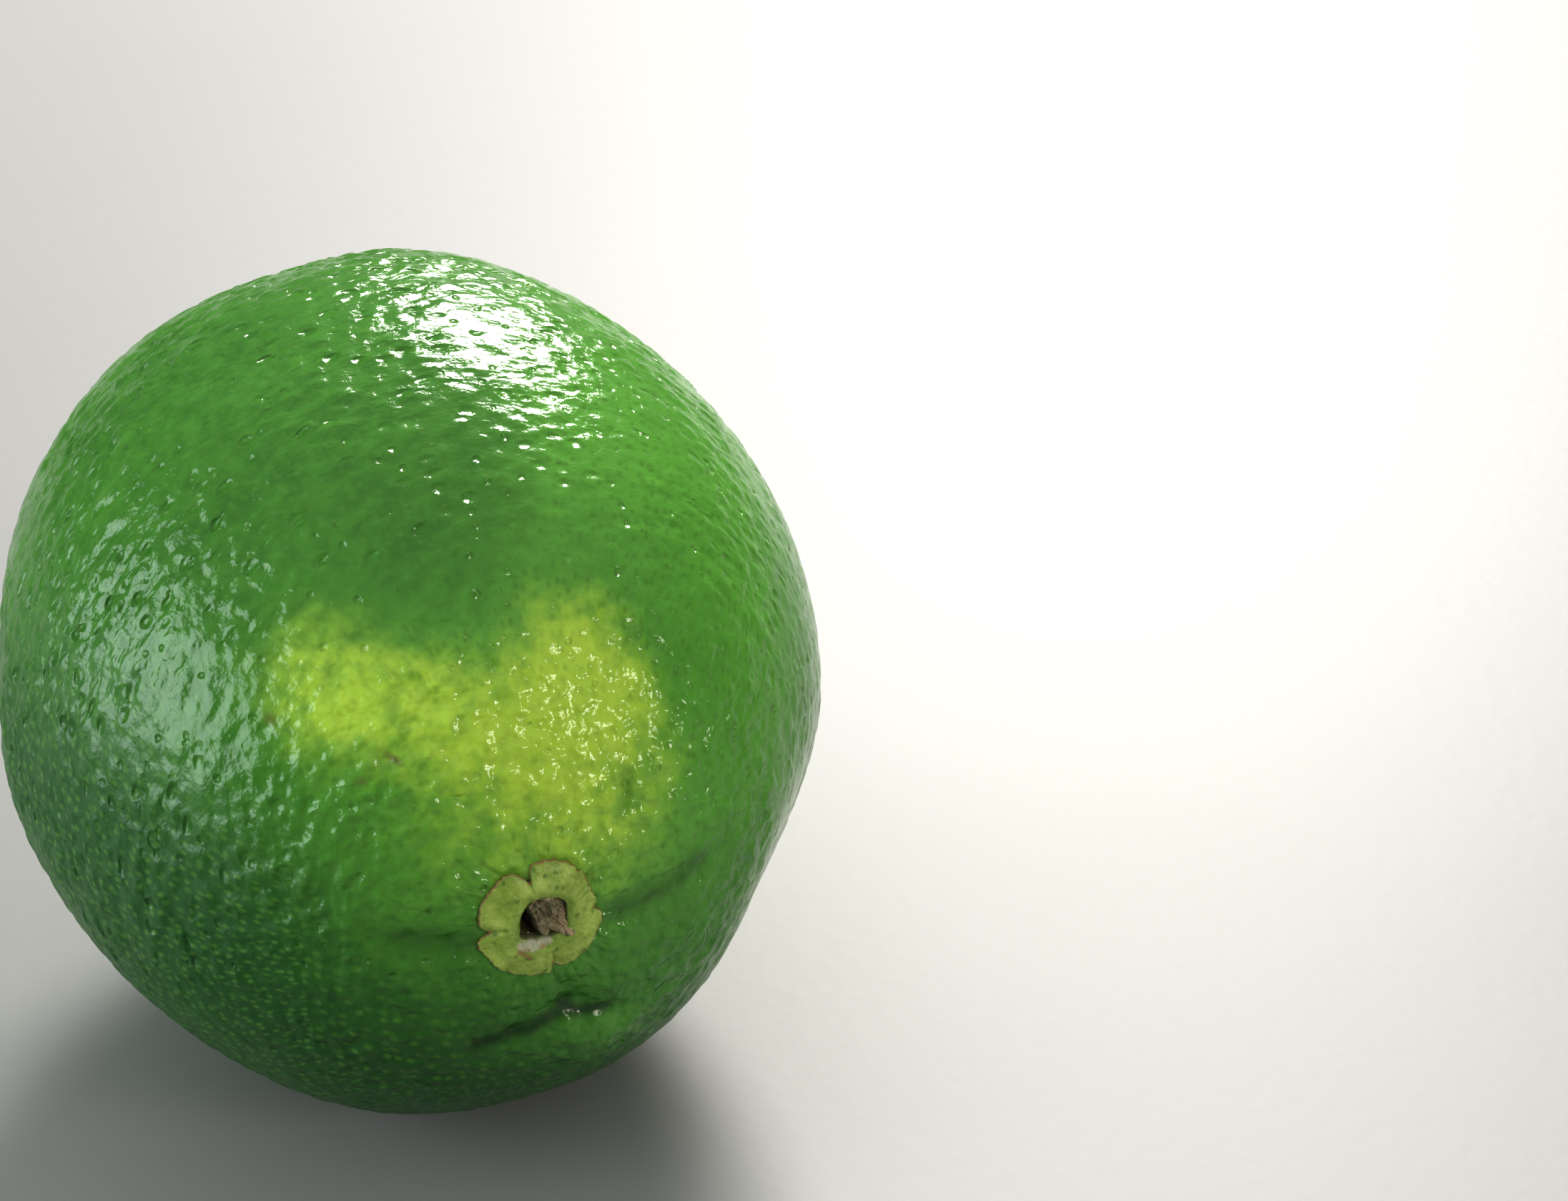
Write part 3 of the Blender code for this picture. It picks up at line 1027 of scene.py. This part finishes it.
@dataclass
class Calyx:
    """The lobed button at the stem end, laid on the rind round a pit."""

    skin: Skin
    seat: tuple[float, float] = (-0.0004, 0.0)
    reach: float = 0.00398
    rim: float = 0.00014
    collar: float = 0.00080
    funnel: float = 0.00030
    funnel_spread: float = 0.20
    pit_lift: float = 0.00020
    pit_half_width: float = 0.00160
    pit_half_height: float = 0.00136
    pit_squareness: float = 3.4
    pit_cut: float = 0.00106
    pit_cut_turn: float = 157.0
    spokes: int = 480
    rings: int = 40
    ring_start: float = 1.1
    vein_depth: float = 0.000045
    curl: float = 0.00010
    torn_spot: tuple[float, float] = (-0.00055, -0.00136)
    torn_stretch: tuple[float, float] = (1.80, 0.48)
    scratch: tuple[tuple[float, float], ...] = ((-0.0015, -0.0017), (-0.0008, -0.0023))
    splits: tuple[Notch, ...] = (
        Notch(101, 0.00112, 3, 10),
        Notch(188, 0.00080, 8, 5),
        Notch(283, 0.00070, 3, 6),
        Notch(359, 0.00045, 3, 8),
    )
    dips: tuple[Notch, ...] = (
        Notch(22, 0.00046, 20, 19),
        Notch(51, 0.00018, 2.5, 2.5),
        Notch(175, 0.00020, 14, 10),
    )

    def outline(self, turn: float) -> float:
        """The calyx's radius at a turn, with its splits, its dips and its ragged edge."""
        spot = spoke(turn)
        ragged = 0.12 * MM * noise.noise(spot * 3.1) + 0.09 * MM * noise.noise(spot * 14.0)
        ragged += 0.05 * MM * noise.noise(spot * 41.0)
        return self.reach + ragged - sum(notch.at(turn) for notch in self.splits + self.dips)

    def pit(self, turn: float) -> float:
        """The pit's radius at a turn: nearly square, cut slantwise at one side, and ragged."""
        radius = square_radius(turn, self.pit_half_width, self.pit_half_height, self.pit_squareness)
        toward_cut = math.cos(math.radians(turn - self.pit_cut_turn))
        if toward_cut > 0:
            radius = (radius**-6 + (self.pit_cut / toward_cut) ** -6) ** (-1 / 6)
        return radius + 0.08 * MM * noise.noise(spoke(turn, 3.0) * 2.6)

    def section(self) -> list[tuple[float, float]]:
        """Points of the cross-section: the share of the way out, and the height above the rind."""
        points = [(1.0, -0.10 * MM), (1.0, 0.4 * self.rim), (0.994, 0.95 * self.rim)]
        for index in range(self.rings):
            share = 1 - (index + 0.6) / (self.rings + 0.6)
            swell = self.rim + (self.collar - self.rim) * (1 - share**1.6)
            swell -= self.funnel * bell(share, self.funnel_spread)
            points.append((share * 0.985, swell))
        points += [(-0.015, 0.45 * self.collar), (-0.035, 0.25 * self.collar)]
        points += [(-0.045, 0.2 * self.collar * (1 - index)) for index in range(4)]
        points += [(share, -0.5 * MM) for share in (0.0, 0.3, 0.6)]
        points.append((0.92, -0.25 * MM))
        return points

    def relief(self, x: float, z: float, turn: float, share: float) -> float:
        """Ups and downs of the outer face, in metres.

        Args:
            x: X of the spot from the seat.
            z: Z of the spot from the seat.
            turn: The spot's turn about the seat.
            share: How far out the spot is, from 0 at the pit to 1 at the edge.

        Returns:
            Small waves, a vein toward each split, and the curled edge.
        """
        place = Vector((x, z, 0.0))
        waves = 0.07 * MM * noise.noise(place / (1.3 * MM))
        waves += 0.04 * MM * noise.noise(place / (0.45 * MM))
        waves += 0.015 * MM * noise.noise(place / (0.18 * MM))
        veins = 0.0
        for split in self.splits:
            beside = bell(turn_past(turn, split.turn) * share, 4.5)
            veins -= self.vein_depth * beside * step(share, 0.3, 0.9)
        curl = self.curl * bell(1 - share, 0.05) * (0.5 + noise.noise(place / (0.7 * MM)))
        return (waves + veins) * step(share, 0.0, 0.15) * step(share, 1.0, 0.95) + curl

    def wounds(self, x: float, z: float) -> tuple[float, float]:
        """How torn and how scratched the calyx is at a spot, from 0 to 1."""
        frayed = 0.25 * MM * noise.noise(Vector((x, z, 0.0)) / (0.5 * MM))
        aside = (x - self.torn_spot[0]) / self.torn_stretch[0]
        below = (z - self.torn_spot[1]) / self.torn_stretch[1]
        torn = math.hypot(aside, below) + 1.8 * frayed
        scratched = distance_to_line(Vector((x, z)), self.scratch) + 0.5 * frayed
        return 0.85 * step(torn, 0.80 * MM, 0.58 * MM), 0.8 * step(scratched, 0.22 * MM, 0.08 * MM)

    def ring_shape(self) -> bmesh.types.BMesh:
        """The cross-section spun into a closed ring, still flat and round."""
        shape = bmesh.new()
        corners = [
            shape.verts.new((self.ring_start + share, -height, 0.0))
            for share, height in self.section()
        ]
        sides = [shape.edges.new(pair) for pair in zip(corners, corners[1:] + corners[:1])]
        bmesh.ops.spin(
            shape,
            geom=corners + sides,
            cent=(0, 0, 0),
            axis=(0, 1, 0),
            angle=math.tau,
            steps=self.spokes,
            use_merge=True,
        )
        return shape

    def lay_on(self, shape: bmesh.types.BMesh) -> None:
        """Gives the ring its outline and pit, lays it on the rind, and stores what the finish reads."""
        layers = float_layers(shape, "edge", "torn", "scratch", "pit", "ring")
        for vertex in shape.verts:
            turn = turn_of(vertex.co.x, vertex.co.z)
            share = math.hypot(vertex.co.x, vertex.co.z) - self.ring_start
            height = -vertex.co.y
            outline = self.outline(turn)
            inner = self.pit(turn)
            radius = inner + share * (outline - inner)
            x = radius * math.cos(math.radians(turn))
            z = radius * math.sin(math.radians(turn)) + self.pit_lift * (1 - share)
            if height > self.rim * 0.5 and share > -0.01:
                height += self.relief(x, z, turn, share)
            torn, scratch = self.wounds(x, z)
            dry_width = 0.13 * MM + 0.25 * sum(split.at(turn) for split in self.splits)
            edge = bell(max(outline - radius, 0.0), dry_width)
            paint(vertex, layers, edge=edge, torn=torn, scratch=scratch)
            # pit marks the pit's inner wall, which the finish paints in shade
            paint(vertex, layers, pit=step(share, 0.03, -0.03), ring=bell(share, 0.30))
            x += self.seat[0]
            z += self.seat[1]
            vertex.co = self.skin.point(x, self.skin.y_at(x, z) - height, z)

    def build(self, finish: CalyxFinish) -> bpy.types.Object:
        """Makes and dresses the calyx."""
        shape = self.ring_shape()
        self.lay_on(shape)
        piece = add_piece("calyx_button", shape, finish.material())
        declare(piece, "calyx")
        return piece


@dataclass
class StemStub:
    """The torn end of the stem: a nearly square peg of fibres that broke at different heights."""

    skin: Skin
    seat: tuple[float, float] = (0.00012, 0.00034)
    half_width: float = 0.00126
    half_height: float = 0.00128
    squareness: float = 3.5
    height: float = 0.00150
    foot: float = 0.0006
    fibre: float = 0.00020
    grid: int = 70
    tooth_turn: float = -44.0
    tooth_reach: float = 0.00125
    tooth_spread: float = 0.00070
    tooth_rise: float = 0.00045
    tooth_lean: float = 0.0006
    rim_rise: float = 0.00014
    hollow_depth: float = 0.00075

    def features(self, across: Vector, widest: float) -> tuple[float, float, float]:
        """How much a spot of the broken top belongs to its tooth, its rim and its hollow."""
        tooth = spoke(self.tooth_turn).to_2d() * self.tooth_reach
        point = bell((across - tooth).length, self.tooth_spread)
        rim = step(widest, 0.78, 0.97) * step(across.y - across.x, -0.2 * MM, 0.8 * MM)
        hollow = step(across.x + 0.30 * across.y, -0.85 * MM, -1.20 * MM)
        return point, rim, hollow

    def fibres(self, across: Vector) -> float:
        """The height at which the fibres broke at a spot, in metres, without tooth or hollow."""
        slanted = Vector((across.x, across.y * 0.7 + across.x * 0.35, 0.0))
        distances, centres = noise.voronoi(slanted / self.fibre)
        broken = noise.cell(centres[0] * 5.7)
        waste = noise.noise(across.to_3d() / (0.7 * MM))
        return self.height * (0.70 + 0.08 * broken + 0.24 * waste - 0.06 * distances[0])

    def tear(self, shape: bmesh.types.BMesh) -> None:
        """Turns a fine cube into the torn peg, and stores what the finish reads."""
        layers = float_layers(shape, "tan", "dark")
        toward_tooth = spoke(self.tooth_turn).to_2d()
        skin_y = self.skin.y_at(*self.seat)
        for vertex in shape.verts:
            flat = Vector((vertex.co.x, vertex.co.z))
            widest = max(abs(flat.x), abs(flat.y))
            around = flat.normalized() if widest > 0 else flat
            turn = turn_of(around.x, around.y)
            radius = square_radius(turn, self.half_width, self.half_height, self.squareness)
            across = around * widest * radius
            top = (1 - vertex.co.y) / 2
            point, rim, hollow = self.features(across, widest)
            rise = self.fibres(across) + self.tooth_rise * point
            rise += self.rim_rise * rim - self.hollow_depth * hollow
            out = across + toward_tooth * (self.tooth_lean * point * top)
            out *= 1 + 0.10 * noise.noise(Vector((across.x, across.y, top * MM)) / (0.4 * MM))
            tan = 1.3 * point * step(top, 0.3, 0.9) + 0.8 * rim * step(top, 0.7, 1.0)
            # dark holds the hollow's painted shade
            paint(vertex, layers, tan=min(tan, 1.0), dark=hollow)
            y = skin_y + self.foot - top * (rise + self.foot)
            vertex.co = self.skin.point(self.seat[0] + out.x, y, self.seat[1] + out.y)

    def build(self, finish: WoodFinish) -> bpy.types.Object:
        """Makes and dresses the stub."""
        shape = bmesh.new()
        bmesh.ops.create_cube(shape, size=2)
        bmesh.ops.subdivide_edges(shape, edges=shape.edges[:], cuts=self.grid - 1, use_grid_fill=True)
        self.tear(shape)
        piece = add_piece("stem_wood", shape, finish.material())
        declare(piece, "stem_stub")
        return piece


# ---------------------------------------------------------------------------------------------
# Studio
# ---------------------------------------------------------------------------------------------


@dataclass(frozen=True)
class SoftLight:
    """A square soft light that faces the lime."""

    name: str
    toward: tuple[float, float, float]
    distance: float
    size: tuple[float, float]
    power: float
    colour: Colour
    spread: float = 180.0

    def add(self, target: Vector) -> None:
        """Hangs the light and turns it to the lime."""
        data = bpy.data.lights.new(self.name, "AREA")
        data.shape = "RECTANGLE"
        data.size, data.size_y = self.size
        data.energy = self.power
        data.color = self.colour
        data.spread = math.radians(self.spread)
        light = bpy.data.objects.new(self.name, data)
        toward = Vector(self.toward).normalized()
        light.location = target + toward * self.distance
        light.rotation_euler = toward.to_track_quat("Z", "Y").to_euler()
        bpy.context.scene.collection.objects.link(light)


@dataclass
class Studio:
    """The floor, the lights, the surroundings and the camera."""

    target: Vector
    sight_azimuth: float = -14.0
    sight_elevation: float = 30.0
    distance: float = 0.2865
    nearest: float = 0.01
    look_azimuth: float = -19.75
    look_elevation: float = 29.27
    lens: float = 100.0
    sensor: float = 36.0
    floor_size: float = 3.0
    exposure: float = 0.25
    gamma: float = 0.8
    surround: Colour = (1.0, 0.99, 0.97)
    overhead: float = 0.62
    horizon: float = 0.19
    horizon_end: float = 0.15
    overhead_start: float = 0.95
    lights: tuple[SoftLight, ...] = (
        SoftLight("key_light", (0.418, 0.740, 0.53), 0.60, (0.20, 0.20), 3.6, (1.0, 0.97, 0.92)),
        SoftLight("side_light", (-0.978, 0.165, 0.11), 0.60, (0.50, 0.58), 1.9, (0.88, 0.95, 1.0), 120),
        SoftLight("front_light", (0.537, -0.779, 0.315), 0.70, (0.16, 0.15), 1.2, (1.0, 0.95, 0.86)),
    )

    @staticmethod
    def bearing(azimuth: float, elevation: float) -> Vector:
        """Unit vector for an azimuth from -Y toward +X and an elevation, in degrees."""
        flat = math.cos(math.radians(elevation))
        side = math.radians(azimuth)
        up = math.sin(math.radians(elevation))
        return Vector((math.sin(side) * flat, -math.cos(side) * flat, up))

    def add_floor(self, finish: FloorFinish) -> None:
        """Lays a large plain floor under the lime."""
        shape = bmesh.new()
        bmesh.ops.create_grid(shape, x_segments=4, y_segments=4, size=self.floor_size / 2)
        floor = add_piece("floor", shape, finish.material())

    def add_surround(self) -> None:
        """Gives the room a pale light that is brightest overhead and dim toward the horizon."""
        world = bpy.data.worlds.new("studio")
        world.use_nodes = True
        nodes = world.node_tree.nodes
        links = world.node_tree.links
        background = nodes["Background"]
        background.inputs["Color"].default_value = (*self.surround, 1.0)
        height = nodes.new("ShaderNodeSeparateXYZ")
        links.new(nodes.new("ShaderNodeTexCoord").outputs["Generated"], height.inputs["Vector"])
        rise = nodes.new("ShaderNodeMapRange")
        rise.interpolation_type = "SMOOTHSTEP"
        for name, value in (
            ("From Min", self.horizon_end),
            ("From Max", self.overhead_start),
            ("To Min", self.horizon),
            ("To Max", self.overhead),
        ):
            rise.inputs[name].default_value = value
        links.new(height.outputs["Z"], rise.inputs["Value"])
        links.new(rise.outputs["Result"], background.inputs["Strength"])
        bpy.context.scene.world = world

    def add_camera(self) -> None:
        """Sets the camera up and to the left of the stem end, with the lime left of centre."""
        data = bpy.data.cameras.new("camera")
        data.lens = self.lens
        data.sensor_width = self.sensor
        data.clip_start = self.nearest
        camera = bpy.data.objects.new("camera", data)
        sight = self.bearing(self.sight_azimuth, self.sight_elevation)
        camera.location = self.target + sight * self.distance
        look = self.bearing(self.look_azimuth, self.look_elevation)
        camera.rotation_euler = look.to_track_quat("Z", "Y").to_euler()
        bpy.context.scene.collection.objects.link(camera)
        bpy.context.scene.camera = camera

    def build(self) -> None:
        """Builds the whole studio."""
        self.add_floor(FloorFinish())
        self.add_surround()
        for light in self.lights:
            light.add(self.target)
        self.add_camera()
        view = bpy.context.scene.view_settings
        view.view_transform = "Standard"
        view.exposure = self.exposure
        view.gamma = self.gamma


def main() -> None:
    """Builds the lime's pieces and the studio, in order, with the same noise on every run."""
    logging.basicConfig(level=logging.INFO, format="%(name)s: %(message)s")
    noise.seed_set(NOISE_SEED)
    rind = Rind()
    skin = Skin.of(rind.build(RindFinish()), rind.middle)
    Calyx(skin).build(CalyxFinish())
    StemStub(skin).build(WoodFinish())
    Studio(target=Vector((0.0, 0.0, 0.026))).build()


if __name__ == "__main__":
    main()
